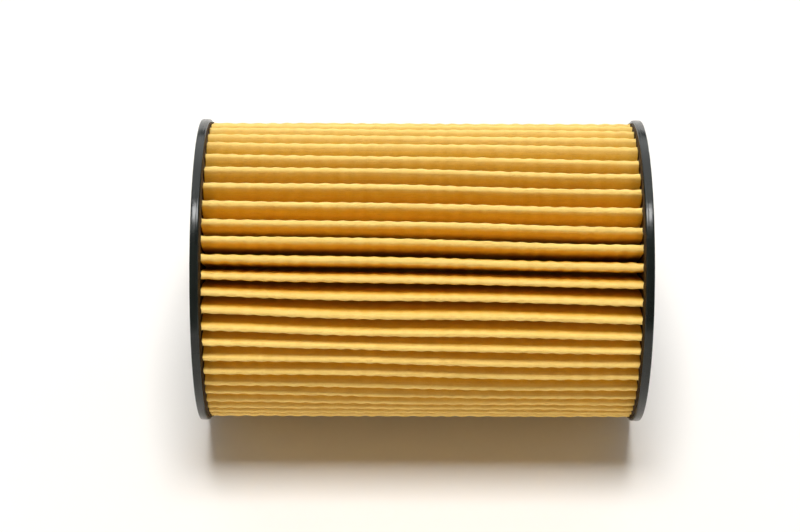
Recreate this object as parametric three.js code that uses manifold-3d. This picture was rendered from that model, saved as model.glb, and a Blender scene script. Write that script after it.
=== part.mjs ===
// Cartridge oil filter element: a ring of pleated paper bonded between two moulded end caps, over a caged
// support tube, with a rubber lip seal in each cap's bore. Oil passes inwards through the paper, through the
// tube's windows, and leaves along the bore. Nothing in it moves.
//
// Millimetres. The element lies on its side: X runs along its axis, +Z is up, and the origin is the middle of
// the axis. Every piece is built round a local Z axis, and one group turns them all to X.

import * as THREE from "three";
import { mergeVertices } from "three/addons/utils/BufferGeometryUtils.js";
import Module from "manifold-3d";

// ---- Driving sizes -------------------------------------------------------------------------------------

const elementLength = 104.4; // from end plane to end plane
const capDiameter = 72; // over the rim's two beads
const boreDiameter = 31; // the hole in each end cap

const rimWidth = 2.0; // the rim's height along the axis, which is also the trough's wall
const rimWall = 0.7; // thickness of the trough's wall
const rimGroove = 0.2; // depth of the hollow between the rim's two beads
const landWidth = 2.4; // the flat ring round the cap's outer edge
const hubLandWidth = 3.5; // the flat ring round the bore
const fieldRecess = 0.5; // how far the face lies below the two flat rings
const plateThickness = 1.0; // the cap's plate, under that face
const ribCount = 16; // radial ribs across the recessed face
const ribWidth = 1.2;
const ribHeight = 0.35;

const sealSeatStep = 0.8; // how far the seal's seat is cut behind the bore's edge
const sealWidth = 4.2; // the seal along the axis
const sealLip = 0.7; // how far the relaxed lip stands inside the bore
const sealBody = 0.6; // thickness of the seal behind its lip
const snapBeadHeight = 0.4; // the bead that holds the seal in
const snapBeadWidth = 1.4;

const spigotWall = 0.9; // the sleeve that the support tube slides over
const tubeWall = 1.8;
const windowColumns = 10;
const windowHeight = 9.0; // along the axis
const ringRibHeight = 1.8; // between two rows of windows
const barWidth = 2.4; // between two columns of windows
const endBand = 7.5; // the least plain band at each end of the tube

const pleatCount = 52;
const paperThickness = 0.8;
const slotWidth = 0.6; // between a pleat's two legs, under its outer fold
const tipCorner = 0.6; // the fold's rounded shoulder
const slackInside = 0.5; // share of the spare room at the inner folds that lies between two pleats
const pleatTwist = 2.5; // degrees from one end of the paper to the other
const seamPlace = 316; // degrees round the axis, from +Y towards +Z, where the sheet's two ends meet
const pottingDepth = 0.6; // the adhesive that holds the paper in the trough
const seamDepth = 6; // the adhesive between the sheet's two ends, inwards from their edge

// Clearances
const bondGap = 0.05; // between pieces that are stuck or moulded to each other
const tubeFit = 0.2; // between the spigot and the tube, all round
const paperFit = 0.4; // between the tube and the inner folds
const troughFit = 0.25; // between the trough's wall and the pleat tips
const seamFit = 0.15; // between the seam's adhesive and the sheet's two ends

// Fineness
const capSegments = 48; // round the axis
const innerSegments = 40; // round the axis, for the smaller rings
const twistPerStep = 0.9; // degrees of twist in one step along the paper

// ---- Sizes that follow ---------------------------------------------------------------------------------

const halfLength = elementLength / 2;
const capRadius = capDiameter / 2;
const boreRadius = boreDiameter / 2;
const troughRadius = capRadius - rimWall;
const plateInside = fieldRecess + plateThickness; // the plate's inner face, measured in from the end plane
const seatRadius = boreRadius + sealSeatStep;
const spigotRadius = seatRadius + spigotWall;
const seatEnd = plateInside + sealWidth + 2 * bondGap;
const spigotEnd = seatEnd + snapBeadWidth;

const tubeInner = spigotRadius + tubeFit;
const tubeOuter = tubeInner + tubeWall;
const tubeLength = elementLength - 2 * (plateInside + bondGap);

const mediaInner = tubeOuter + paperFit;
const mediaOuter = troughRadius - troughFit;
const pottingEnd = plateInside + bondGap + pottingDepth;
const mediaLength = elementLength - 2 * (pottingEnd + bondGap);
const mediaSteps = Math.max(1, Math.ceil(Math.abs(pleatTwist) / twistPerStep));

// ---- Materials -----------------------------------------------------------------------------------------

const black = (color, roughness) => new THREE.MeshStandardMaterial({ color, roughness, metalness: 0 });
const capPlastic = black(0x1b1d1c, 0.42);
const tubePlastic = black(0x202221, 0.5);
const rubber = black(0x141414, 0.7);
const pottingAdhesive = black(0x2a241c, 0.5);
const paper = new THREE.MeshStandardMaterial({ color: 0xe2a83a, roughness: 0.85, metalness: 0 });
const seamAdhesive = new THREE.MeshStandardMaterial({ color: 0xd9c48a, roughness: 0.35, metalness: 0 });

// ---- Making and cutting solids -------------------------------------------------------------------------

const wasm = await Module();
wasm.setup();

// A closed geometry as a manifold-3d solid.
function solidOf(geometry) {
  const bare = geometry.clone();
  bare.deleteAttribute("normal");
  bare.deleteAttribute("uv");
  const merged = mergeVertices(bare, 1e-4);
  return new wasm.Manifold(
    new wasm.Mesh({
      numProp: 3,
      vertProperties: merged.attributes.position.array,
      triVerts: new Uint32Array(merged.index.array),
    }),
  );
}

// A manifold-3d solid as a geometry.
function geometryOf(solid) {
  const { vertProperties, triVerts } = solid.getMesh();
  return new THREE.BufferGeometry()
    .setAttribute("position", new THREE.BufferAttribute(vertProperties, 3))
    .setIndex(new THREE.BufferAttribute(triVerts, 1));
}

// A closed [radius, height] profile turned round Z. It goes up its inner side and down its outer side. A flat,
// and not a corner, faces straight down in use.
function turned(profile, segments) {
  const points = [...profile, profile[0]].reverse().map(([r, z]) => new THREE.Vector2(r, z));
  return new THREE.LatheGeometry(points, segments, Math.PI / segments).rotateX(Math.PI / 2);
}

// A closed [x, y] outline raised along Z from -height / 2.
function raised(outline, height, steps = 1) {
  const shape = new THREE.Shape(outline.map(([x, y]) => new THREE.Vector2(x, y)));
  const geometry = new THREE.ExtrudeGeometry(shape, { depth: height, steps, bevelEnabled: false });
  return geometry.translate(0, 0, -height / 2);
}

// The point that lies `across` to the side and `out` from the axis, once turned by `angle` about it.
function polar(across, out, angle) {
  return [
    across * Math.cos(angle) - out * Math.sin(angle),
    across * Math.sin(angle) + out * Math.cos(angle),
  ];
}

// ---- End cap -------------------------------------------------------------------------------------------

// The cap's section, with height 0 at its end plane and growing into the element.
function capProfile() {
  const corner = 0.3;
  const beadInset = 0.35; // from each edge of the rim to the crest of its bead
  const landInner = capRadius - landWidth;
  const hubOuter = boreRadius + hubLandWidth;
  return [
    [boreRadius, corner],
    [boreRadius, plateInside],
    [seatRadius, plateInside],
    [seatRadius, seatEnd],
    [seatRadius - snapBeadHeight, seatEnd + snapBeadHeight],
    [seatRadius - snapBeadHeight, spigotEnd - snapBeadHeight],
    [seatRadius, spigotEnd],
    [spigotRadius - corner, spigotEnd],
    [spigotRadius, spigotEnd - corner],
    [spigotRadius, plateInside],
    [troughRadius, plateInside],
    [troughRadius, rimWidth - corner],
    [troughRadius + corner / 2, rimWidth],
    [capRadius - corner, rimWidth],
    [capRadius, rimWidth - beadInset],
    [capRadius - rimGroove, rimWidth / 2],
    [capRadius, beadInset],
    [capRadius - corner, 0],
    [landInner, 0],
    [landInner - fieldRecess / 2, fieldRecess],
    [hubOuter + fieldRecess / 2, fieldRecess],
    [hubOuter, 0],
    [boreRadius + corner, 0],
  ];
}

// One rib, standing on the recessed face and running from the hub's flat ring into the rim's.
function capRib(angle) {
  const inner = boreRadius + hubLandWidth - fieldRecess / 2;
  const outer = capRadius - landWidth + fieldRecess / 2;
  const top = fieldRecess - ribHeight;
  const height = fieldRecess + plateThickness / 2 - top;
  return new THREE.BoxGeometry(ribWidth, outer - inner, height)
    .translate(0, (inner + outer) / 2, top + height / 2)
    .rotateZ(angle);
}

function capGeometry() {
  let cap = solidOf(turned(capProfile(), capSegments));
  for (let i = 0; i < ribCount; i++) {
    cap = cap.add(solidOf(capRib(((i + 0.5) * 2 * Math.PI) / ribCount)));
  }
  return geometryOf(cap);
}

// ---- Seal ----------------------------------------------------------------------------------------------

// A rubber ring seated behind the bore's edge, with one lip that stands into the bore.
function sealGeometry() {
  const back = seatRadius - bondGap;
  const front = back - sealBody;
  const start = plateInside + bondGap;
  const end = start + sealWidth;
  const middle = (start + end) / 2;
  const lipRadius = boreRadius - sealLip;
  const lipFlat = 0.25;
  const root = sealWidth / 4;
  return turned(
    [
      [back, start],
      [front, start],
      [front, middle - root],
      [lipRadius, middle - lipFlat],
      [lipRadius, middle + lipFlat],
      [front, middle + root],
      [front, end],
      [back, end],
    ],
    innerSegments,
  );
}

// ---- Potting -------------------------------------------------------------------------------------------

// The adhesive ring that fills the bottom of the cap's trough.
function pottingGeometry() {
  const inner = tubeOuter + bondGap;
  const outer = troughRadius - bondGap;
  const start = plateInside + bondGap;
  return turned(
    [
      [inner, start],
      [inner, pottingEnd],
      [outer, pottingEnd],
      [outer, start],
    ],
    capSegments,
  );
}

// ---- Support tube --------------------------------------------------------------------------------------

// One window's cutter: a block with radial sides that reaches past both faces of the tube's wall.
function windowCutter() {
  const half = Math.PI / windowColumns - barWidth / 2 / tubeOuter;
  const inner = tubeInner - tubeWall;
  const outer = tubeOuter + tubeWall;
  return raised(
    [
      polar(0, inner, -half),
      polar(0, outer, -half),
      polar(0, outer, half),
      polar(0, inner, half),
    ],
    windowHeight,
  );
}

function tubeGeometry() {
  const half = tubeLength / 2;
  const chamfer = 0.4;
  let tube = solidOf(
    turned(
      [
        [tubeInner, -half],
        [tubeInner, half],
        [tubeOuter - chamfer, half],
        [tubeOuter, half - chamfer],
        [tubeOuter, -half + chamfer],
        [tubeOuter - chamfer, -half],
      ],
      innerSegments,
    ),
  );
  const pitch = windowHeight + ringRibHeight;
  const rows = Math.floor((tubeLength - 2 * endBand + ringRibHeight) / pitch);
  for (let row = 0; row < rows; row++) {
    const height = (row - (rows - 1) / 2) * pitch;
    for (let column = 0; column < windowColumns; column++) {
      const angle = ((column + 0.5) * 2 * Math.PI) / windowColumns;
      const cutter = windowCutter().rotateZ(angle).translate(0, 0, height);
      tube = tube.subtract(solidOf(cutter));
    }
  }
  return geometryOf(tube);
}

// ---- Pleated paper -------------------------------------------------------------------------------------

const pitchAngle = (2 * Math.PI) / pleatCount;
const seamAngle = THREE.MathUtils.degToRad(seamPlace);
const slitOuter = slotWidth / 2; // half the slot inside a pleat, at its outer fold
const tipHalf = slitOuter + paperThickness;
const innerPitch = 2 * mediaInner * Math.tan(pitchAngle / 2);
const innerSlack = innerPitch - 2 * paperThickness;
const valleyHalf = (innerSlack * slackInside) / 2; // half the gap between two pleats, at the inner fold
const slitInner = (innerSlack * (1 - slackInside)) / 2; // half the slot inside a pleat, at its mouth

// The sheet's section: out along the oily side of every pleat, then back along the clean side. The sheet's two
// ends are the two legs of the pleat at the seam, which has no outer fold.
function sheetOutline() {
  const oily = [];
  const clean = [];
  oily.push(polar(tipHalf, mediaOuter, seamAngle));
  clean.push(polar(slitOuter, mediaOuter, seamAngle));
  clean.push(polar(slitInner, mediaInner, seamAngle));
  for (let i = 1; i <= pleatCount; i++) {
    const valley = seamAngle - (i - 0.5) * pitchAngle;
    const pleat = seamAngle - i * pitchAngle;
    const valleyFloor = mediaInner + paperThickness;
    oily.push(polar(-valleyHalf, valleyFloor, valley), polar(valleyHalf, valleyFloor, valley));
    clean.push(polar(-slitInner, mediaInner, pleat));
    if (i === pleatCount) {
      clean.push(polar(-slitOuter, mediaOuter, pleat));
      oily.push(polar(-tipHalf, mediaOuter, pleat));
      break;
    }
    oily.push(
      polar(-tipHalf, mediaOuter - tipCorner, pleat),
      polar(-tipHalf + tipCorner, mediaOuter, pleat),
      polar(tipHalf - tipCorner, mediaOuter, pleat),
      polar(tipHalf, mediaOuter - tipCorner, pleat),
    );
    clean.push(
      polar(-slitOuter, mediaOuter - paperThickness, pleat),
      polar(slitOuter, mediaOuter - paperThickness, pleat),
      polar(slitInner, mediaInner, pleat),
    );
  }
  return [...oily, ...clean.reverse()];
}

// Turns each section of a geometry about Z, in proportion to its height, so that the whole has the twist.
function twisted(geometry) {
  const places = geometry.attributes.position;
  const point = new THREE.Vector3();
  const axis = new THREE.Vector3(0, 0, 1);
  const perLength = THREE.MathUtils.degToRad(pleatTwist) / mediaLength;
  for (let i = 0; i < places.count; i++) {
    point.fromBufferAttribute(places, i).applyAxisAngle(axis, places.getZ(i) * perLength);
    places.setXYZ(i, point.x, point.y, point.z);
  }
  return geometry;
}

// The hot-melt strip between the sheet's two ends.
function seamGeometry() {
  const outer = mediaOuter - bondGap;
  const along = seamDepth / (mediaOuter - mediaInner);
  const halfOut = slitOuter - seamFit;
  const halfIn = slitOuter + (slitInner - slitOuter) * along - seamFit;
  return twisted(
    raised(
      [
        polar(halfOut, outer, seamAngle),
        polar(-halfOut, outer, seamAngle),
        polar(-halfIn, outer - seamDepth, seamAngle),
        polar(halfIn, outer - seamDepth, seamAngle),
      ],
      mediaLength,
      mediaSteps,
    ),
  );
}

// ---- The element ---------------------------------------------------------------------------------------

const element = new THREE.Group();
element.rotation.y = Math.PI / 2;

function place(name, geometry, material) {
  const mesh = new THREE.Mesh(geometry, material);
  mesh.name = name;
  element.add(mesh);
  return mesh;
}

// Pieces at one end are made once, from its end plane inwards, and turned over for the other end.
const ends = [
  ["left", -halfLength, 0],
  ["right", halfLength, Math.PI],
];
for (const [side, height, turn] of ends) {
  for (const [name, geometry, material] of [
    ["end_cap_" + side, capGeometry(), capPlastic],
    ["lip_seal_" + side, sealGeometry(), rubber],
    ["potting_ring_" + side, pottingGeometry(), pottingAdhesive],
  ]) {
    const mesh = place(name, geometry, material);
    mesh.position.z = height;
    mesh.rotation.x = turn;
  }
}

place("support_tube", tubeGeometry(), tubePlastic);
place("pleated_media", twisted(raised(sheetOutline(), mediaLength, mediaSteps)), paper);
place("seam_bond", seamGeometry(), seamAdhesive);

const part = new THREE.Group();
part.add(element);

export default part;
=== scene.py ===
"""Cartridge oil filter element: pleated yellow paper between two black moulded end caps.

Metres, in the CAD frame: X along the element's axis, +Z up, the origin in the middle of the axis.
Lengths written in millimetres carry MM.
"""

from math import asin, cos, pi, radians, sin, tau

import bmesh
import bpy
import numpy as np
from mathutils import Matrix, Vector


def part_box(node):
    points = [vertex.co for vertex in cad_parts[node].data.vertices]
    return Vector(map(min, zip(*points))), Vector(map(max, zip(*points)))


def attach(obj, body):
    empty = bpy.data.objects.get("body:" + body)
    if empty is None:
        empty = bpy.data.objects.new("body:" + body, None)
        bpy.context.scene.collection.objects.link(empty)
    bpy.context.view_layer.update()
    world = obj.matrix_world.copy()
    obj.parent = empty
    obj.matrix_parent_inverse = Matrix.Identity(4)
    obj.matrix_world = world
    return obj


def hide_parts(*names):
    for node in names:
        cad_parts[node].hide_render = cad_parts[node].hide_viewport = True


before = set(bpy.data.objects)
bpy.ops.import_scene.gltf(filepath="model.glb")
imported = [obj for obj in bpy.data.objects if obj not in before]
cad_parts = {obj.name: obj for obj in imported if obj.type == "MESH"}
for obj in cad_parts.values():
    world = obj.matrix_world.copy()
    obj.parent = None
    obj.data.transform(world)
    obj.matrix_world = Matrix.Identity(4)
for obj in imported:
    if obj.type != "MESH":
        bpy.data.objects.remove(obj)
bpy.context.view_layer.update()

MM = 0.001

# ---- Sizes ---------------------------------------------------------------------------------------------

CAP_FACETS = 48  # sides of the CAD cap, whose corners lie on the true circle


def reach(node, axis):
    """How far a CAD node reaches along one axis, 0 to 2, from the origin."""
    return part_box(node)[1][axis]


HALF_LENGTH = reach("end_cap_right", 0)
CAP_R = reach("end_cap_right", 2) / cos(pi / CAP_FACETS)
PAPER_HALF = reach("pleated_media", 0)  # half the paper's width
TUBE_HALF = reach("support_tube", 0)  # half the support tube's length
POTTING_TOP = HALF_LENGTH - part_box("potting_ring_right")[0][0]  # from the end plane

# The cap's section, as in the CAD model
BORE_R = 15.5 * MM
SEAT_R = 16.3 * MM
SPIGOT_R = 17.2 * MM
TROUGH_R = CAP_R - 0.7 * MM
RIM_WIDTH = 2.0 * MM
LAND = 2.4 * MM  # the flat ring round the end face's outer edge
HUB_LAND = 3.5 * MM  # and the one round the bore
LINE_PLACE = 1.25 * MM  # a fine line round the rim, from the end plane
FIELD = 0.5 * MM  # how deep the ribbed field lies
PLATE = 1.5 * MM  # from the end plane to the trough's bottom
BOND_GAP = 0.05 * MM  # between a piece and what it is stuck to
SEAL_DEPTH = 4.2 * MM
SEAL_END = PLATE + 4.3 * MM
SPIGOT_END = HALF_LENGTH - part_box("end_cap_right")[0][0]
RIBS = 16
RIB_HEIGHT = 0.35 * MM
RIB_PLACES = np.array([-0.72, -0.6, -0.52, -0.4, 0, 0.4, 0.52, 0.6, 0.72]) * MM  # across a rib
RIB_SHARES = np.array([0, 0.1, 0.6, 1, 1, 1, 0.6, 0.1, 0])  # of its height, at those places

TUBE_IN = 17.4 * MM
TUBE_OUT = 19.2 * MM
WINDOW_COLUMNS = 10
WINDOW_ROWS = 8
WINDOW_PITCH = 10.8 * MM
WINDOW_HEIGHT = 9.0 * MM
BAR_WIDTH = 2.4 * MM

# The paper
PLEATS = 52
PAPER = 0.5 * MM  # thickness
TIP_R = 0.68 * MM  # radius of the outer fold, outside
LEG_BULGE = 0.3 * MM  # how far the sheet swells on each side below the fold
VALLEY_R = 0.19 * MM  # radius of the inner fold, on the same side of the sheet
PAPER_OUT = 35.05 * MM  # from the axis to the outer folds
PAPER_IN = 19.6 * MM  # from the axis to the inner folds
SEAM_ANGLE = radians(316.6)  # where the sheet's two ends meet, round the axis from +Y towards +Z
SEAM_DEPTH = 6 * MM
TWIST = radians(3.0)  # of the whole sheet, from one end to the other
CREST_LIGHT_FROM = 32.9 * MM  # the paper is painted paler between these distances from the axis: painted light on the crests
CREST_LIGHT_TO = 34.8 * MM
POTTING_PLACE = HALF_LENGTH - POTTING_TOP  # where the paper comes out of the adhesive
END_DARKENING = 0.35 * MM  # how far from the potting the paper is darkened
CORRUGATION = 3.6 * MM  # from one wave to the next, along the axis
CORRUGATION_HEIGHT = 0.085 * MM

FLOOR_Z = -CAP_R
FLOOR_R = 30.0
FLOOR_SIDES = 64


# ---- Mesh helpers --------------------------------------------------------------------------------------


def side_name(side):
    """side is -1 for the left end and 1 for the right one."""
    return "left" if side < 0 else "right"


def new_piece(name, points, faces, material, slot, *nodes, sharp=40):
    """A closed mesh piece on the root body that stands for some CAD nodes. sharp is in degrees."""
    mesh = bpy.data.meshes.new(name)
    mesh.from_pydata([tuple(p) for p in points], [], [tuple(int(i) for i in f) for f in faces])
    tidy = bmesh.new()
    tidy.from_mesh(mesh)
    bmesh.ops.recalc_face_normals(tidy, faces=tidy.faces)
    tidy.to_mesh(mesh)
    tidy.free()
    mesh.shade_smooth()
    mesh.set_sharp_from_angle(angle=radians(sharp))
    mesh.materials.append(material)
    piece = bpy.data.objects.new(name, mesh)
    bpy.context.scene.collection.objects.link(piece)
    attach(piece, "root")
    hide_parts(*nodes)
    return piece


def rounded(corners):
    """A closed outline with its corners rounded. Each corner is (radius from the axis, place, rounding)."""
    steps = 4  # points in each rounding
    most = 0.45  # the greatest share of an edge that the rounding at one of its ends may take
    points = []
    count = len(corners)
    for i, (r, h, size) in enumerate(corners):
        here = np.array([r, h])
        before = np.array(corners[i - 1][:2]) - here
        after = np.array(corners[(i + 1) % count][:2]) - here
        reach_before = min(size, most * np.linalg.norm(before))
        reach_after = min(size, most * np.linalg.norm(after))
        start = here + before / np.linalg.norm(before) * reach_before
        end = here + after / np.linalg.norm(after) * reach_after
        for t in np.linspace(0, 1, steps):
            points.append((1 - t) ** 2 * start + 2 * t * (1 - t) * here + t * t * end)
    return points


def ring_faces(rings, around, close_rings=True):
    """Quads from each ring of around points to the next, and with close_rings from the last to the first."""
    faces = []
    for j in range(rings if close_rings else rings - 1):
        k = (j + 1) % rings
        for i in range(around):
            m = (i + 1) % around
            faces.append((j * around + i, j * around + m, k * around + m, k * around + i))
    return faces


def smooth_noise(rng, waves, cycles):
    """A gentle random curve over 0 to 1: a sum of sines, scaled to about -1 to 1."""
    rates = rng.uniform(0.4, cycles, waves)
    phases = rng.uniform(0, tau, waves)
    sizes = rng.uniform(0.5, 1, waves)
    sizes /= sizes.sum()
    return lambda t: 1.6 * sum(a * np.sin(tau * f * t + p) for a, f, p in zip(sizes, rates, phases))


# ---- Material helpers ----------------------------------------------------------------------------------


class Material:
    """A Principled material and short ways to add nodes to it."""

    # A mix node's sockets for colours
    FACTOR, FIRST, SECOND, MIXED = 0, 6, 7, 2

    def __init__(self, name, roughness, specular):
        self.made = bpy.data.materials.new(name)
        self.made.use_nodes = True
        self.tree = self.made.node_tree
        self.shader = self.tree.nodes["Principled BSDF"]
        self.shader.inputs["Roughness"].default_value = roughness
        self.shader.inputs["Specular IOR Level"].default_value = specular
        coordinates = self.tree.nodes.new("ShaderNodeTexCoord")
        self.place = coordinates.outputs["Object"]

    def put(self, socket, value):
        if isinstance(value, bpy.types.NodeSocket):
            self.tree.links.new(value, socket)
        else:
            socket.default_value = value

    def math(self, operation, a, b):
        node = self.tree.nodes.new("ShaderNodeMath")
        node.operation = operation
        self.put(node.inputs[0], a)
        self.put(node.inputs[1], b)
        return node.outputs[0]

    def scaled(self, scale):
        """The object's coordinates, in millimetres, times scale in each direction."""
        node = self.tree.nodes.new("ShaderNodeVectorMath")
        node.operation = "MULTIPLY"
        self.put(node.inputs[0], self.place)
        node.inputs[1].default_value = [s / MM for s in scale]
        return node.outputs[0]

    def noise(self, scale, detail=2.0, roughness=0.5):
        """Noise of about 0 to 1. scale is how fast it changes in each direction, per millimetre."""
        node = self.tree.nodes.new("ShaderNodeTexNoise")
        node.inputs["Scale"].default_value = 1.0
        node.inputs["Detail"].default_value = detail
        node.inputs["Roughness"].default_value = roughness
        self.put(node.inputs["Vector"], self.scaled(scale))
        return node.outputs["Fac"]

    def span(self, value, low, high, to_low=0.0, to_high=1.0):
        """value taken from low..high to to_low..to_high, and held there."""
        node = self.tree.nodes.new("ShaderNodeMapRange")
        node.interpolation_type = "SMOOTHSTEP"
        self.put(node.inputs["Value"], value)
        node.inputs["From Min"].default_value = low
        node.inputs["From Max"].default_value = high
        node.inputs["To Min"].default_value = to_low
        node.inputs["To Max"].default_value = to_high
        return node.outputs["Result"]

    def mix(self, factor, a, b):
        node = self.tree.nodes.new("ShaderNodeMix")
        node.data_type = "RGBA"
        self.put(node.inputs[self.FACTOR], factor)
        for socket, colour in ((self.FIRST, a), (self.SECOND, b)):
            self.put(node.inputs[socket], (*colour, 1) if isinstance(colour, tuple) else colour)
        return node.outputs[self.MIXED]

    def length(self, vector):
        node = self.tree.nodes.new("ShaderNodeVectorMath")
        node.operation = "LENGTH"
        self.put(node.inputs[0], vector)
        return node.outputs["Value"]

    def radius(self):
        """Distance from the element's axis, in millimetres."""
        return self.length(self.scaled((0, 1, 1)))

    def along(self):
        """Distance from the element's middle, along its axis, in millimetres."""
        return self.length(self.scaled((1, 0, 0)))

    def bump(self, height, depth):
        """Raises the surface by height times depth millimetres."""
        node = self.tree.nodes.new("ShaderNodeBump")
        node.inputs["Strength"].default_value = 1.0
        node.inputs["Distance"].default_value = depth * MM
        self.put(node.inputs["Height"], height)
        self.put(self.shader.inputs["Normal"], node.outputs["Normal"])

    def set(self, name, value):
        self.put(self.shader.inputs[name], value)


def paper_material():
    """Resin-cured filter paper, painted a deeper amber in the folds as shade and paler on the crests as
    light, and darker at its ends, next to the caps.
    """
    paper = Material("filter_paper", 0.8, 0.3)
    mottle = paper.noise((0.35, 0.35, 0.35), 3, 0.6)
    fibres = paper.noise((1.6, 5.0, 5.0), 4, 0.65)
    creases = paper.noise((0.05, 4.2, 4.2), 3, 0.6)
    # Painted shade and light: a deeper, more saturated amber in the folds and a paler colour on the crests,
    # blended by distance from the axis.
    fold_shade = paper.mix(paper.span(mottle, 0.3, 0.7), (0.83, 0.485, 0.038), (0.87, 0.545, 0.056))
    crest_light = paper.mix(paper.span(mottle, 0.3, 0.7), (0.86, 0.59, 0.155), (0.91, 0.65, 0.195))
    edge = paper.span(paper.radius(), CREST_LIGHT_FROM / MM, CREST_LIGHT_TO / MM)
    colour = paper.mix(edge, fold_shade, crest_light)
    lined = paper.mix(paper.span(creases, 0.48, 0.7, 0.0, 0.42), colour, (0.62, 0.33, 0.055))
    speckled = paper.mix(paper.span(fibres, 0.4, 0.75, 0.0, 0.16), lined, (0.9, 0.74, 0.34))
    # The paper is darker for a short way from where it comes out of the potting, with a ragged edge.
    ragged = paper.math("ADD", paper.along(), paper.math("MULTIPLY", mottle, 0.5))
    darker_at_ends = paper.span(ragged, (POTTING_PLACE - END_DARKENING) / MM + 0.25, POTTING_PLACE / MM + 0.1)
    paper.set("Base Color", paper.mix(darker_at_ends, speckled, (0.055, 0.029, 0.005)))
    paper.set("Roughness", paper.span(fibres, 0.3, 0.7, 0.66, 0.86))
    relief = paper.math("ADD", fibres, paper.noise((4.0, 4.0, 4.0), 3))
    paper.bump(paper.math("ADD", relief, paper.math("MULTIPLY", creases, 0.9)), 0.03)
    return paper.made


def plastic_material(name, colour, roughness, streaks):
    """Satin moulded black plastic with flow lines, fine grain and a little dust."""
    plastic = Material(name, roughness, 0.38)
    lines = plastic.noise(streaks, 3, 0.6)
    grain = plastic.noise((3.0, 3.0, 3.0), 3, 0.6)
    clouds = plastic.noise((0.12, 0.12, 0.12), 2)
    paler = tuple(c * 1.7 for c in colour)
    plastic.set("Base Color", plastic.mix(plastic.span(clouds, 0.3, 0.7), colour, paler))
    plastic.set("Roughness", plastic.span(lines, 0.3, 0.7, roughness - 0.07, roughness + 0.1))
    plastic.bump(plastic.math("ADD", lines, plastic.math("MULTIPLY", grain, 0.6)), 0.02)
    return plastic.made


def rubber_material():
    """Matt black rubber."""
    rubber = Material("seal_rubber", 0.55, 0.4)
    grain = rubber.noise((2.0, 2.0, 2.0), 4, 0.6)
    rubber.set("Base Color", rubber.mix(grain, (0.012, 0.012, 0.013), (0.035, 0.034, 0.033)))
    rubber.set("Roughness", rubber.span(grain, 0.3, 0.7, 0.45, 0.68))
    rubber.bump(grain, 0.02)
    return rubber.made


def adhesive_material(name, dark, pale, roughness):
    """Set adhesive, with soft swirls of two colours."""
    adhesive = Material(name, roughness, 0.15)
    swirl = adhesive.noise((0.8, 0.8, 0.8), 3, 0.55)
    adhesive.set("Base Color", adhesive.mix(adhesive.span(swirl, 0.3, 0.7), dark, pale))
    adhesive.set("Roughness", adhesive.span(swirl, 0.3, 0.7, roughness - 0.08, roughness + 0.12))
    adhesive.bump(swirl, 0.08)
    return adhesive.made


def floor_material():
    """A white surface that glows softly far away, where the studio lights no longer reach it."""
    floor = Material("white_surface", 0.7, 0.2)
    cloud = floor.noise((0.01, 0.01, 0.01), 2)
    floor.set("Base Color", floor.mix(cloud, (0.865, 0.85, 0.825), (0.885, 0.87, 0.845)))
    glow_from, glow_to, glow = 0.3, 1.1, 0.95  # metres from the element, and how bright
    floor.set("Emission Color", (1, 1, 1, 1))
    floor.set("Emission Strength", floor.span(floor.length(floor.place), glow_from, glow_to, 0.0, glow))
    return floor.made


# ---- Pleated paper -------------------------------------------------------------------------------------


class Pleats:
    """Where each pleat's outer fold and inner fold lie at any place along the axis."""

    CROWDING = 0.125  # how much wider than average the pleats stand at the widest
    WIDEST = radians(36)  # where, round the axis
    JITTER = radians(0.42)  # how much single folds stand off their even places
    DRIFT = radians(0.55)  # how much a fold wanders sideways along its length
    SEED = 1762

    def __init__(self):
        rng = np.random.default_rng(self.SEED)
        self.shift = rng.normal(0, self.JITTER, PLEATS + 1)
        self.shift[[0, PLEATS]] = 0
        self.lift = rng.uniform(-0.12, 0.06, PLEATS + 1) * MM  # how much further out a fold stands
        self.width = rng.uniform(0.93, 1.06, PLEATS + 1)  # how wide its crest is, times the usual
        self.drifts = [smooth_noise(rng, 4, 1.6) for _ in range(PLEATS + 1)]
        self.swells = [smooth_noise(rng, 4, 5.0) for _ in range(PLEATS + 1)]

    def even(self, count):
        """The angle at which pleat number count would stand without any jitter. Count need not be whole."""
        plain = SEAM_ANGLE - count * tau / PLEATS
        return plain + self.CROWDING * (sin(plain - self.WIDEST) - sin(SEAM_ANGLE - self.WIDEST))

    def outer(self, i, x):
        """(angle, fold radius, distance of the fold's top from the axis) of pleat i at the places x."""
        t = x / (2 * PAPER_HALF) + 0.5
        near = 0.5 * self.drifts[i](t) + 0.3 * self.drifts[max(i - 1, 0)](t)
        near += 0.3 * self.drifts[min(i + 1, PLEATS)](t)
        held = 1 if 0 < i < PLEATS else 0.15  # the seam holds the sheet's two ends straight
        angle = self.even(i) + self.shift[i] + TWIST * x / (2 * PAPER_HALF) + self.DRIFT * near * held
        swell = self.swells[i](t)
        return angle, TIP_R * (self.width[i] + 0.05 * swell), PAPER_OUT + self.lift[i] + 0.05 * MM * swell

    def inner(self, i, x):
        """The angle of the inner fold between pleats i and i + 1 at the places x."""
        beside = 0.25 * (self.shift[i] + self.shift[i + 1])
        return self.even(i + 0.5) + beside + TWIST * x / (2 * PAPER_HALF)


def across_and_out(angle):
    """Unit vectors in Y and Z: across a pleat at that angle, towards smaller angles, and out along it."""
    return np.stack([np.sin(angle), -np.cos(angle)], -1), np.stack([np.cos(angle), np.sin(angle)], -1)


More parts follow.
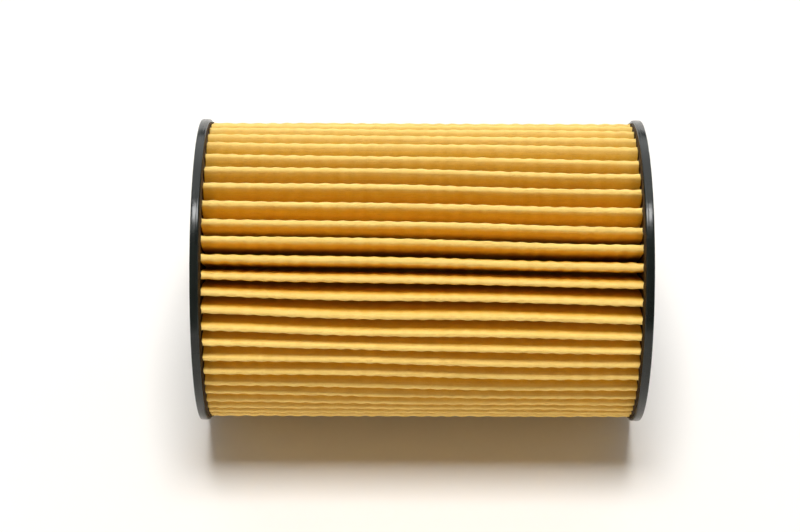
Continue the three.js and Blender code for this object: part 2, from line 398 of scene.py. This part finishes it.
def folded_sheet(pleats, x):
    """The middle line of the sheet's section at the places x, as points and as normals to its oily side."""
    tip_points, valley_points = 9, 4
    leg_shares = (0.06, 0.18, 0.4, 0.75)  # places along a leg, from the outer fold
    points, normals = [], []

    def add(point, normal):
        points.append(point)
        normals.append(normal)

    def arc(centre, radius, start, turn, count, side):
        """count points round part of a fold. side is 1 where the oily side is outside it, and -1 inside."""
        for t in np.linspace(0, 1, count):
            angle = start + turn * t
            out = np.stack([np.cos(angle), np.sin(angle)], -1)
            add(centre + radius[:, None] * out, side * out)

    def tip(i):
        """An outer fold's centre, its radius to the middle line, and the direction out through it."""
        angle, fold, top = pleats.outer(i, x)
        out = across_and_out(angle)[1]
        return out * (top - fold)[:, None], fold - PAPER / 2, out

    def valley(i):
        """An inner fold's centre and its radius to the middle line."""
        out = across_and_out(pleats.inner(i, x))[1]
        size = np.full(len(x), VALLEY_R + PAPER / 2)
        return out * (PAPER_IN + PAPER + VALLEY_R), size

    def tangent(tip_centre, tip_size, valley_centre, valley_size, side):
        """The direction of the leg's normal, away from the tip's centre, on one side of the tip."""
        towards = valley_centre - tip_centre
        far = np.linalg.norm(towards, axis=-1)
        heading = np.arctan2(towards[:, 1], towards[:, 0])
        return heading + side * (pi / 2 - np.arcsin((tip_size + valley_size) / far))

    def leg(tip_centre, tip_size, valley_centre, valley_size, normal, shares):
        """The sheet between an outer and an inner fold, swelling a little to its oily side."""
        start = tip_centre + normal * tip_size[:, None]
        end = valley_centre - normal * valley_size[:, None]
        for t in shares:
            swell = LEG_BULGE * 6.75 * t * (1 - t) ** 2  # greatest, LEG_BULGE, a third of the way down
            add(start + (end - start) * t + normal * swell, normal)

    for i in range(PLEATS):
        tip_centre, tip_size, out = tip(i)
        next_centre, next_size, next_out = tip(i + 1)
        valley_centre, valley_size = valley(i)
        leave = tangent(tip_centre, tip_size, valley_centre, valley_size, 1)
        meet = tangent(next_centre, next_size, valley_centre, valley_size, -1)
        if i == 0:
            cut = tip_centre + out * tip_size[:, None]
            normal = np.stack([np.cos(leave), np.sin(leave)], -1)
            add(cut + normal * tip_size[:, None], normal)
        down = np.stack([np.cos(leave), np.sin(leave)], -1)
        up = np.stack([np.cos(meet), np.sin(meet)], -1)
        leg(tip_centre, tip_size, valley_centre, valley_size, down, leg_shares)
        start = leave + pi
        turn = (meet + pi - start + pi) % tau - pi
        arc(valley_centre, valley_size, start, turn, valley_points, -1)
        leg(next_centre, next_size, valley_centre, valley_size, up, leg_shares[::-1])
        if i == PLEATS - 1:
            add(next_centre + next_out * next_size[:, None] + up * next_size[:, None], up)
            break
        following, following_size = valley(i + 1)
        away = tangent(next_centre, next_size, following, following_size, 1)
        turn = -((meet - away) % tau)
        arc(next_centre, next_size, meet, turn, tip_points, 1)
    return np.array(points), np.array(normals)


def corrugation(count, x):
    """How far the corrugation lifts each of a section's count points at the places x."""
    rng = np.random.default_rng(21)
    drift, fade = smooth_noise(rng, 5, 7), smooth_noise(rng, 6, 11)
    t = x / (2 * PAPER_HALF) + 0.5
    order = np.arange(count)[:, None] / count
    phase = tau * x / CORRUGATION + 0.9 * drift(t)
    depth = CORRUGATION_HEIGHT * (1 + 0.5 * fade(t + 3 * order))
    return depth * np.cos(phase[None, :] + 1.1 * np.sin(tau * 5 * order))


def sheet_faces(count, per_wave, waves):
    """Faces over a sheet's oily side, with per_wave rows to each row of its clean side, and its edges."""
    steps = per_wave * waves
    base = count * (steps + 1)
    faces = []
    for j in range(steps):
        for k in range(count - 1):
            a = j * count + k
            faces.append((a, a + 1, a + count + 1, a + count))
    for j in range(waves):
        for k in range(count - 1):
            a = base + j * count + k
            faces.append((a, a + count, a + count + 1, a + 1))
    for oily_row, clean_row in ((0, 0), (steps, waves)):
        for k in range(count - 1):
            a = oily_row * count + k
            b = base + clean_row * count + k
            faces.append((a, b, b + 1, a + 1))
    for k in (0, count - 1):
        for j in range(waves):
            edge = [(j * per_wave + n) * count + k for n in range(per_wave + 1)]
            faces.append((*edge, base + (j + 1) * count + k, base + j * count + k))
    return faces


def make_paper(pleats, material):
    """The folded sheet. Its oily side carries the corrugation, and its clean side is plain."""
    per_wave = 5
    waves = round(2 * PAPER_HALF / CORRUGATION)
    x = np.linspace(-PAPER_HALF, PAPER_HALF, per_wave * waves + 1)
    middle, normal = folded_sheet(pleats, x)
    lift = corrugation(len(middle), x)
    oily = middle + normal * (PAPER / 2 + lift)[:, :, None]
    clean = middle[:, ::per_wave] - normal[:, ::per_wave] * PAPER / 2
    points = []
    for side, places in ((oily, x), (clean, x[::per_wave])):
        for j, place in enumerate(places):
            points += [(place, *point) for point in side[:, j]]
    faces = sheet_faces(len(middle), per_wave, waves)
    return new_piece("pleated_paper", points, faces, material, "filter_paper", "pleated_media", sharp=60)


# ---- End caps ------------------------------------------------------------------------------------------


def cap_section():
    """The outline of a cap's section, as (distance from the axis, distance from the end plane) points."""
    corner = 0.3 * MM
    soft = 0.2 * MM
    edge = 0.12 * MM
    crisp = 0.1 * MM
    line_depth = 0.035 * MM
    slope = 0.25 * MM  # from a land down to the field
    step = 0.4 * MM  # the spigot's wall is this much thicker past the seal
    field_from = CAP_R - LAND - 2 * slope
    field_to = BORE_R + HUB_LAND + 2 * slope
    field_points = [(r, FIELD, 0.01 * MM) for r in np.linspace(field_from, field_to, 14)]
    return rounded(
        [
            # The seal's seat and the spigot
            (BORE_R, 0, corner),
            (BORE_R, PLATE, crisp),
            (SEAT_R, PLATE, 0.05 * MM),
            (SEAT_R, SEAL_END, crisp),
            (SEAT_R - step, SEAL_END + step, soft),
            (SEAT_R - step, SPIGOT_END - step, soft),
            (SEAT_R, SPIGOT_END, crisp),
            (SPIGOT_R, SPIGOT_END, corner),
            # The trough
            (SPIGOT_R, PLATE, corner),
            (TROUGH_R, PLATE, soft),
            # The rim, with the fine line in it
            (TROUGH_R, RIM_WIDTH, crisp),
            (CAP_R - 0.3 * MM, RIM_WIDTH, edge),
            (CAP_R - 0.06 * MM, RIM_WIDTH - 0.2 * MM, 0.15 * MM),
            (CAP_R, LINE_PLACE + 0.12 * MM, soft),
            (CAP_R - line_depth, LINE_PLACE, 0.03 * MM),
            (CAP_R, LINE_PLACE - 0.08 * MM, 0.04 * MM),
            (CAP_R, 0.45 * MM, crisp),
            # The end face: the outer land, the field and the hub's land
            (CAP_R - 0.05 * MM, 0, edge),
            (CAP_R - LAND, 0, edge),
            (CAP_R - LAND - slope, FIELD, edge),
            *field_points,
            (BORE_R + HUB_LAND + slope, FIELD, edge),
            (BORE_R + HUB_LAND, 0, edge),
        ]
    )


def make_cap(side, material):
    """An end cap, with ribs that rise from the field."""
    section = cap_section()
    rib_top = FIELD - RIB_HEIGHT
    between = 10  # columns of points between two ribs
    lifts = [*RIB_SHARES, *([0] * between)]
    points = []
    for r, h in section:
        on_face = r < CAP_R - 0.5 * LAND and r > BORE_R + 0.5 * HUB_LAND and h < PLATE / 2
        turns = [asin(place / r) for place in RIB_PLACES]
        spare = tau / RIBS - 2 * turns[-1]
        turns += [turns[-1] + spare * (n + 1) / (between + 1) for n in range(between)]
        for rib in range(RIBS):
            middle = (rib + 0.5) * tau / RIBS
            for turn, lift in zip(turns, lifts):
                place = h + (min(h, rib_top) - h) * lift if on_face else h
                angle = middle + turn
                points.append((side * (HALF_LENGTH - place), r * cos(angle), r * sin(angle)))
    name = side_name(side)
    faces = ring_faces(len(section), RIBS * len(lifts))
    return new_piece("cap_" + name, points, faces, material, "cap_plastic", "end_cap_" + name, sharp=50)


# ---- Rings ---------------------------------------------------------------------------------------------


def turned_piece(name, section, side, around, material, slot, node):
    """A section turned round the axis, with around columns of points."""
    points = []
    for r, h in section:
        for i in range(around):
            angle = tau * i / around
            points.append((side * (HALF_LENGTH - h), r * cos(angle), r * sin(angle)))
    return new_piece(name, points, ring_faces(len(section), around), material, slot, node)


def make_seal(side, material):
    """A rubber ring with a lip that stands into the bore and shallow grooves round its back."""
    edge = 0.12 * MM
    soft = 0.2 * MM
    hollow = 0.3 * MM
    body = 0.6 * MM
    lip_reach = 0.7 * MM  # past the bore's wall
    lip_foot = 1.05 * MM  # half the lip's width where it leaves the body
    lip_end = 0.25 * MM  # and half its width at its edge
    groove = 0.12 * MM
    start = PLATE + BOND_GAP
    end = start + SEAL_DEPTH
    middle = (start + end) / 2
    back = SEAT_R - BOND_GAP
    front = back - body
    lip = BORE_R - lip_reach
    section = rounded(
        [
            (back, start, edge),
            (front, start, soft),
            (front, middle - lip_foot, hollow),
            (lip, middle - lip_end, soft),
            (lip, middle + lip_end, soft),
            (front, middle + lip_foot, hollow),
            (front, end, soft),
            (back, end, edge),
            (back - groove, (middle + end) / 2, hollow),
            (back, middle, hollow),
            (back - groove, (middle + start) / 2, hollow),
        ]
    )
    name = side_name(side)
    return turned_piece("seal_" + name, section, side, 160, material, "seal_rubber", "lip_seal_" + name)


def make_potting(side, pleats, material):
    """The adhesive in a cap's trough, which has crept up round the ends of the pleats."""
    creep = 0.3 * MM  # how far it climbs beside a pleat
    meniscus = 0.12 * MM  # and how far at the trough's wall
    ripple = 0.02 * MM
    rng = np.random.default_rng(5 if side < 0 else 6)
    lumps = [smooth_noise(rng, 5, 60) for _ in range(3)]
    inner = TUBE_OUT + BOND_GAP
    outer = TROUGH_R - 0.02 * MM
    around = PLEATS * 10
    paper_end = np.array([side * PAPER_HALF])
    tips = np.array([float(pleats.outer(i, paper_end)[0][0]) for i in range(1, PLEATS + 1)])
    angles = np.arange(around) * tau / around
    nearest = np.abs((angles[:, None] - tips[None, :] + pi) % tau - pi).min(1)
    climb = np.exp(-((nearest / radians(1.9)) ** 2))
    flat_rings = np.linspace(inner + 0.4 * MM, outer - 1.6 * MM, 6)
    wall_rings = np.linspace(outer - 1.2 * MM, outer, 6)
    radii = [inner, inner, *flat_rings, *wall_rings, outer]
    points = []
    for j, r in enumerate(radii):
        for i, angle in enumerate(angles):
            if j in (0, len(radii) - 1):
                h = PLATE + BOND_GAP
            else:
                rim = np.exp(-(((outer - r) / (0.5 * MM)) ** 2))
                lump = lumps[j % 3](angle / tau)
                h = POTTING_TOP + ripple * lump + creep * climb[i] * rim * (1 + 0.35 * lump)
                h += meniscus * rim
            points.append((side * (HALF_LENGTH - h), r * cos(angle), r * sin(angle)))
    name = side_name(side)
    faces = ring_faces(len(radii), around)
    node = "potting_ring_" + name
    return new_piece("potting_" + name, points, faces, material, "potting_adhesive", node)


def make_seam(pleats, material):
    """The hot melt between the sheet's two ends, a little proud and uneven at its outer edge."""
    rng = np.random.default_rng(8)
    proud, width = smooth_noise(rng, 6, 14), smooth_noise(rng, 6, 9)
    steps, around = 160, 12
    x = np.linspace(-PAPER_HALF, PAPER_HALF, steps + 1)
    across, out = across_and_out(pleats.outer(0, x)[0])
    points = []
    for j, place in enumerate(x):
        t = j / steps
        half_width = (0.17 + 0.03 * width(t)) * MM
        top = PAPER_OUT + (0.02 + 0.06 * proud(t)) * MM
        for i in range(around):
            turn = tau * i / around
            squared = abs(sin(turn)) ** 0.5 * (1 if sin(turn) > 0 else -1)
            height = top - SEAM_DEPTH / 2 + SEAM_DEPTH / 2 * squared
            points.append((place, *(out[j] * height + across[j] * half_width * cos(turn))))
    faces = ring_faces(steps + 1, around, close_rings=False)
    faces += [tuple(range(around)), tuple(steps * around + i for i in range(around))]
    return new_piece("seam_bead", points, faces, material, "seam_adhesive", "seam_bond", sharp=60)


# ---- Support tube --------------------------------------------------------------------------------------


# A place on the tube is (u, v): how far round its outside, and how far along it.
CELL = tau * TUBE_OUT / WINDOW_COLUMNS  # one window and half the bars round it
CELL_U, CELL_V = CELL / 2, WINDOW_PITCH / 2


def window_edge():
    """(place on the window's edge, place on its cell's edge) pairs, round one window."""
    corner = 1.2 * MM
    per_side, per_corner = 4, 4
    half_u = (CELL - BAR_WIDTH) / 2
    half_v = WINDOW_HEIGHT / 2
    spare_u = CELL_U - half_u + corner
    spare_v = CELL_V - half_v + corner
    pairs = []
    for quarter, (right, top) in enumerate(((1, 1), (-1, 1), (-1, -1), (1, -1))):
        is_even = quarter % 2 == 0
        centre = (right * (half_u - corner), top * (half_v - corner))
        for n in range(per_corner + 1):
            turn = (quarter + n / per_corner) * pi / 2
            hole = (centre[0] + corner * cos(turn), centre[1] + corner * sin(turn))
            share = 1 - abs(2 * n / per_corner - 1)
            if share == 1:
                rim = (right * CELL_U, top * CELL_V)
            elif (2 * n < per_corner) == is_even:
                rim = (right * CELL_U, top * (half_v - corner + spare_v * share))
            else:
                rim = (right * (half_u - corner + spare_u * share), top * CELL_V)
            pairs.append((hole, rim))
        for n in range(1, per_side):
            share = 1 - 2 * n / per_side
            if is_even:
                u = right * (half_u - corner) * share
                pairs.append(((u, top * half_v), (u, top * CELL_V)))
            else:
                v = top * (half_v - corner) * share
                pairs.append(((right * half_u, v), (right * CELL_U, v)))
    return pairs


def tube_vertex(grid, u, v, outside):
    r = TUBE_OUT if outside else TUBE_IN
    angle = u / TUBE_OUT
    return grid.verts.new((v, r * cos(angle), r * sin(angle)))


def bridge(grid, first, second):
    """Quads between two closed loops of vertices."""
    for n in range(len(first)):
        m = (n + 1) % len(first)
        grid.faces.new((first[n], first[m], second[m], second[n]))


def add_windows(grid, pairs):
    for column in range(WINDOW_COLUMNS):
        for row in range(WINDOW_ROWS):
            middle_u = (column + 0.5) * CELL
            middle_v = (row - (WINDOW_ROWS - 1) / 2) * WINDOW_PITCH
            loops = []
            for outside in (True, False):
                holes = [tube_vertex(grid, middle_u + u, middle_v + v, outside) for (u, v), _ in pairs]
                rims = [tube_vertex(grid, middle_u + u, middle_v + v, outside) for _, (u, v) in pairs]
                loops.append(holes)
                bridge(grid, holes, rims)
            bridge(grid, *loops)


def add_end_bands(grid, pairs):
    """The plain bands past the last windows, with points where the windows' cells have them."""
    places = sorted({round(u / MM, 6) for _, (u, v) in pairs if abs(abs(v) - CELL_V) < 1e-9})
    band_start = WINDOW_ROWS * WINDOW_PITCH / 2
    for side in (-1, 1):
        ends = []
        for outside in (True, False):
            inner_edge, outer_edge = [], []
            for column in range(WINDOW_COLUMNS):
                for place in places[:-1]:
                    u = (column + 0.5) * CELL + place * MM
                    inner_edge.append(tube_vertex(grid, u, side * band_start, outside))
                    outer_edge.append(tube_vertex(grid, u, side * TUBE_HALF, outside))
            bridge(grid, inner_edge, outer_edge)
            ends.append(outer_edge)
        bridge(grid, *ends)


def make_tube(material):
    """A moulded cage: rows of round-cornered windows between lengthways bars and thinner rings."""
    grid = bmesh.new()
    pairs = window_edge()
    add_windows(grid, pairs)
    add_end_bands(grid, pairs)
    bmesh.ops.remove_doubles(grid, verts=grid.verts, dist=0.01 * MM)
    grid.verts.index_update()
    points = [tuple(v.co) for v in grid.verts]
    faces = [tuple(v.index for v in f.verts) for f in grid.faces]
    grid.free()
    piece = new_piece("cage", points, faces, material, "tube_plastic", "support_tube")
    bevel = piece.modifiers.new("edges", "BEVEL")
    bevel.width = 0.22 * MM
    bevel.segments = 2
    bevel.limit_method = "ANGLE"
    bevel.angle_limit = radians(40)
    return piece


# ---- The element ---------------------------------------------------------------------------------------

pleats = Pleats()
cap_plastic = plastic_material("cap_plastic", (0.0078, 0.0100, 0.0088), 0.17, (9.0, 0.12, 0.12))
tube_plastic = plastic_material("tube_plastic", (0.018, 0.019, 0.019), 0.48, (0.15, 1.5, 1.5))
rubber = rubber_material()
potting = adhesive_material("potting_adhesive", (0.036, 0.017, 0.003), (0.068, 0.034, 0.005), 0.62)
hot_melt = adhesive_material("seam_adhesive", (0.62, 0.44, 0.16), (0.78, 0.62, 0.3), 0.35)

make_paper(pleats, paper_material())
make_seam(pleats, hot_melt)
make_tube(tube_plastic)
for end in (-1, 1):
    make_cap(end, cap_plastic)
    make_seal(end, rubber)
    make_potting(end, pleats, potting)

# ---- Floor, light and camera ---------------------------------------------------------------------------

mesh = bpy.data.meshes.new("floor")
turns = np.linspace(0, tau, FLOOR_SIDES + 1)[:-1]
corners = [(FLOOR_R * cos(turn), FLOOR_R * sin(turn), FLOOR_Z) for turn in turns]
mesh.from_pydata(corners, [], [tuple(range(FLOOR_SIDES))])
mesh.materials.append(floor_material())
floor = bpy.data.objects.new("floor", mesh)
bpy.context.scene.collection.objects.link(floor)


ELEMENT_MIDDLE = Vector((0, 0, 0))


def area_light(name, place, width, depth, power):
    """A light that hangs at a place, faces the element and isn't seen itself. power is in watts."""
    data = bpy.data.lights.new(name, "AREA")
    data.shape = "RECTANGLE"
    data.size, data.size_y = width, depth
    data.energy = power
    light = bpy.data.objects.new(name, data)
    light.location = place
    light.rotation_euler = (ELEMENT_MIDDLE - Vector(place)).to_track_quat("-Z", "Y").to_euler()
    light.visible_camera = False
    bpy.context.scene.collection.objects.link(light)
    return light


# The softbox overhead casts the main light, and the glint is its own reflection, which is narrower.
softbox = area_light("softbox", (0, 0, 1.6), 0.65, 0.6, 26)
softbox.visible_glossy = False
glint = area_light("glint", (0, 0, 1.59), 0.65, 0.31, 16)
glint.visible_diffuse = False

# The white backdrop lights the element from behind, and the sheen is its reflection.
backdrop = area_light("backdrop", (0, 1.5, 0.7), 3.0, 1.3, 14.5)
backdrop.visible_glossy = False
sheen = area_light("sheen", (0, 1.3, 1.25), 3.0, 2.3, 34)
sheen.visible_diffuse = False

# Weak light from both sides, and warm light from the front, which softens the shadow there.
for side in (-1, 1):
    area_light("side", (side * 1.6, -0.1, 0.7), 1.4, 1.0, 2.6)
fill = area_light("fill", (0, -1.5, 0.8), 2.2, 0.8, 6.3)
fill.data.color = (1, 0.74, 0.42)
fill.visible_glossy = False

# The surroundings are white to look at and give only a little light.
SEEN_WHITE = 1.1
LIGHT_AROUND = 0.04

world = bpy.data.worlds.new("studio")
world.use_nodes = True
bpy.context.scene.world = world
tree = world.node_tree
background = tree.nodes["Background"]
background.inputs["Color"].default_value = (1, 1, 1, 1)
background.inputs["Strength"].default_value = LIGHT_AROUND
seen = tree.nodes.new("ShaderNodeBackground")
seen.inputs["Color"].default_value = (1, 1, 1, 1)
seen.inputs["Strength"].default_value = SEEN_WHITE
path = tree.nodes.new("ShaderNodeLightPath")
choose = tree.nodes.new("ShaderNodeMixShader")
tree.links.new(path.outputs["Is Camera Ray"], choose.inputs["Fac"])
tree.links.new(background.outputs[0], choose.inputs[1])
tree.links.new(seen.outputs[0], choose.inputs[2])
tree.links.new(choose.outputs[0], tree.nodes["World Output"].inputs["Surface"])

bpy.context.scene.view_settings.view_transform = "Standard"

# The lens is long and looks down on the element square to its axis.
ELEVATION = radians(47)
DISTANCE = 14.895 * CAP_R
RIGHT_OF_VIEW = 0.138 * CAP_R
BELOW_VIEW = 0.026 * CAP_R
TILT = 0.0035

camera_data = bpy.data.cameras.new("camera")
camera_data.sensor_width = 36
camera_data.lens = 100.5
camera = bpy.data.objects.new("camera", camera_data)
bpy.context.scene.collection.objects.link(camera)
right = Vector((1, 0, 0))
up = Vector((0, sin(ELEVATION), cos(ELEVATION)))
back = right.cross(up)
place = back * DISTANCE - right * RIGHT_OF_VIEW + up * BELOW_VIEW
camera.matrix_world = Matrix.Translation(place) @ Matrix((right, up, back)).transposed().to_4x4()
camera.matrix_world = camera.matrix_world @ Matrix.Rotation(TILT, 4, "Z")
bpy.context.scene.camera = camera
